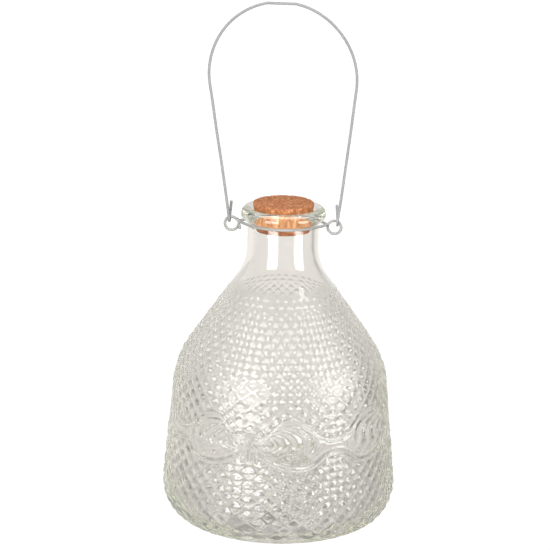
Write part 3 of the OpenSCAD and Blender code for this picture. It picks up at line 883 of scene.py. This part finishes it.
# and paler overhead
high = wnt.nodes.new("ShaderNodeMapRange")
high.interpolation_type = "SMOOTHSTEP"
high.inputs["From Min"].default_value = 0.35
high.inputs["From Max"].default_value = 0.8
high.inputs["To Min"].default_value = 0.0
high.inputs["To Max"].default_value = 0.6
wnt.links.new(split.outputs["Z"], high.inputs["Value"])
pale = wnt.nodes.new("ShaderNodeMath")
pale.operation = "MAXIMUM"
aside = wnt.nodes.new("ShaderNodeMapRange")
aside.interpolation_type = "SMOOTHSTEP"
aside.inputs["From Min"].default_value = 0.3
aside.inputs["From Max"].default_value = 0.9
aside.inputs["To Min"].default_value = 1.0
aside.inputs["To Max"].default_value = 0.42
wnt.links.new(split.outputs["X"], aside.inputs["Value"])
level = wnt.nodes.new("ShaderNodeMath")
level.operation = "MULTIPLY"
wnt.links.new(dim.outputs["Result"], level.inputs[0])
wnt.links.new(aside.outputs["Result"], level.inputs[1])
wnt.links.new(level.outputs["Value"], pale.inputs[0])
wnt.links.new(high.outputs["Result"], pale.inputs[1])
wpath = wnt.nodes.new("ShaderNodeLightPath")
seen = wnt.nodes.new("ShaderNodeMix")
seen.data_type = "FLOAT"
wnt.links.new(wpath.outputs["Is Camera Ray"], seen.inputs["Factor"])
wnt.links.new(pale.outputs["Value"], seen.inputs["A"])
seen.inputs["B"].default_value = 1.0
tone = wnt.nodes.new("ShaderNodeMix")
tone.data_type = "RGBA"
tone.inputs["A"].default_value = (1.0, 0.975, 0.935, 1)
tone.inputs["B"].default_value = (1.0, 1.0, 1.0, 1)
wnt.links.new(wpath.outputs["Is Camera Ray"], tone.inputs["Factor"])
wnt.links.new(tone.outputs["Result"], bg.inputs["Color"])
wnt.links.new(seen.outputs["Result"], bg.inputs["Strength"])


def panel(name, centre, target, w, h, power, colour=(1, 1, 1)):
    d = bpy.data.lights.new(name, "AREA")
    d.shape = "RECTANGLE"
    d.size, d.size_y = w, h
    d.energy = power
    d.color = colour
    o = bpy.data.objects.new(name, d)
    scene.collection.objects.link(o)
    o.location = centre
    o.rotation_euler = (Vector(target) - Vector(centre)).to_track_quat("-Z", "Y").to_euler()
    o.visible_camera = False
    return o


def on_circle(azimuth, distance, height):
    """A place round the jar: azimuth in degrees from the near side towards the right."""
    a = math.radians(azimuth)
    return (distance * math.sin(a), -distance * math.cos(a), height)


# two softboxes, each of an upper and a lower half edge to edge
for half, z in (("lower", 0.153 - 0.0465), ("upper", 0.153 + 0.0465)):
    panel("softbox_left_" + half, on_circle(-26.5, 0.34, z), (0, 0, z), 0.19, 0.093, 0.525)
    panel("softbox_right_" + half, on_circle(58.0, 0.34, z), (0, 0, z), 0.16, 0.093, 0.45)
# a broad card overhead that only shows as reflections, and a bank of four lamps for what is not glass
card = panel("card_top", (0.0, -0.03, 0.76), (0.0, -0.0301, 0.0), 1.20, 0.58, 11.5)
card.visible_transmission = card.visible_diffuse = False
for name, x, y, z in (("lamp_a", -0.08, -0.465, 0.565), ("lamp_b", 0.08, -0.465, 0.565), ("lamp_c", -0.08, -0.375, 0.675), ("lamp_d", 0.08, -0.375, 0.675)):
    lamp = panel(name, (x, y, z), (x, y + 0.42, z - 0.44), 0.15, 0.15, 1.05)
    lamp.visible_transmission = lamp.visible_glossy = False

# ------------------------------------------------------------------ camera
DIST, ELEV, AZIM, FOCAL, ROLL = 1400.0, math.radians(17.5), math.radians(5.0), 2339.0, 0.020
AIM_PX, AIM_PY, AIM_Z = 280.9, 343.3, 105.0
aim = np.array([0, 0, AIM_Z])
eye = aim + DIST * np.array([math.cos(ELEV) * math.sin(AZIM), -math.cos(ELEV) * math.cos(AZIM), math.sin(ELEV)])
fwd = unit(aim - eye)
right = unit(np.cross(fwd, [0, 0, 1.0]))
up = np.cross(right, fwd)
c, s_ = math.cos(ROLL), math.sin(ROLL)
basis = np.array([c * right + s_ * up, -s_ * right + c * up, fwd])
t = unit(np.array([AIM_PX - 275.0, -(AIM_PY - 275.0), FOCAL]))
axis = np.cross([0, 0, 1.0], t)
ang = math.asin(np.linalg.norm(axis))
turn = np.array(Matrix.Rotation(ang, 3, Vector(axis)))
rows_c = turn @ basis
cam_data = bpy.data.cameras.new("camera")
cam_data.sensor_width = 36.0
cam_data.lens = FOCAL / 550.0 * 36.0
cam_data.clip_start, cam_data.clip_end = 0.05, 50.0
cam = bpy.data.objects.new("camera", cam_data)
scene.collection.objects.link(cam)
rot = Matrix((rows_c[0], rows_c[1], -rows_c[2])).transposed().to_4x4()
cam.matrix_world = Matrix.Translation(Vector(eye * MM)) @ rot
scene.camera = cam

scene.view_settings.view_transform = "Standard"
scene.view_settings.look = "None"
scene.cycles.max_bounces = 96
scene.cycles.transmission_bounces = 96
scene.cycles.glossy_bounces = 96
scene.cycles.transparent_max_bounces = 32
scene.cycles.sample_clamp_indirect = 6.0
# each lamp is asked equally often and the backdrop only by chance, which keeps the thin wires smooth
scene.cycles.use_light_tree = False
world.cycles.sampling_method = "NONE"
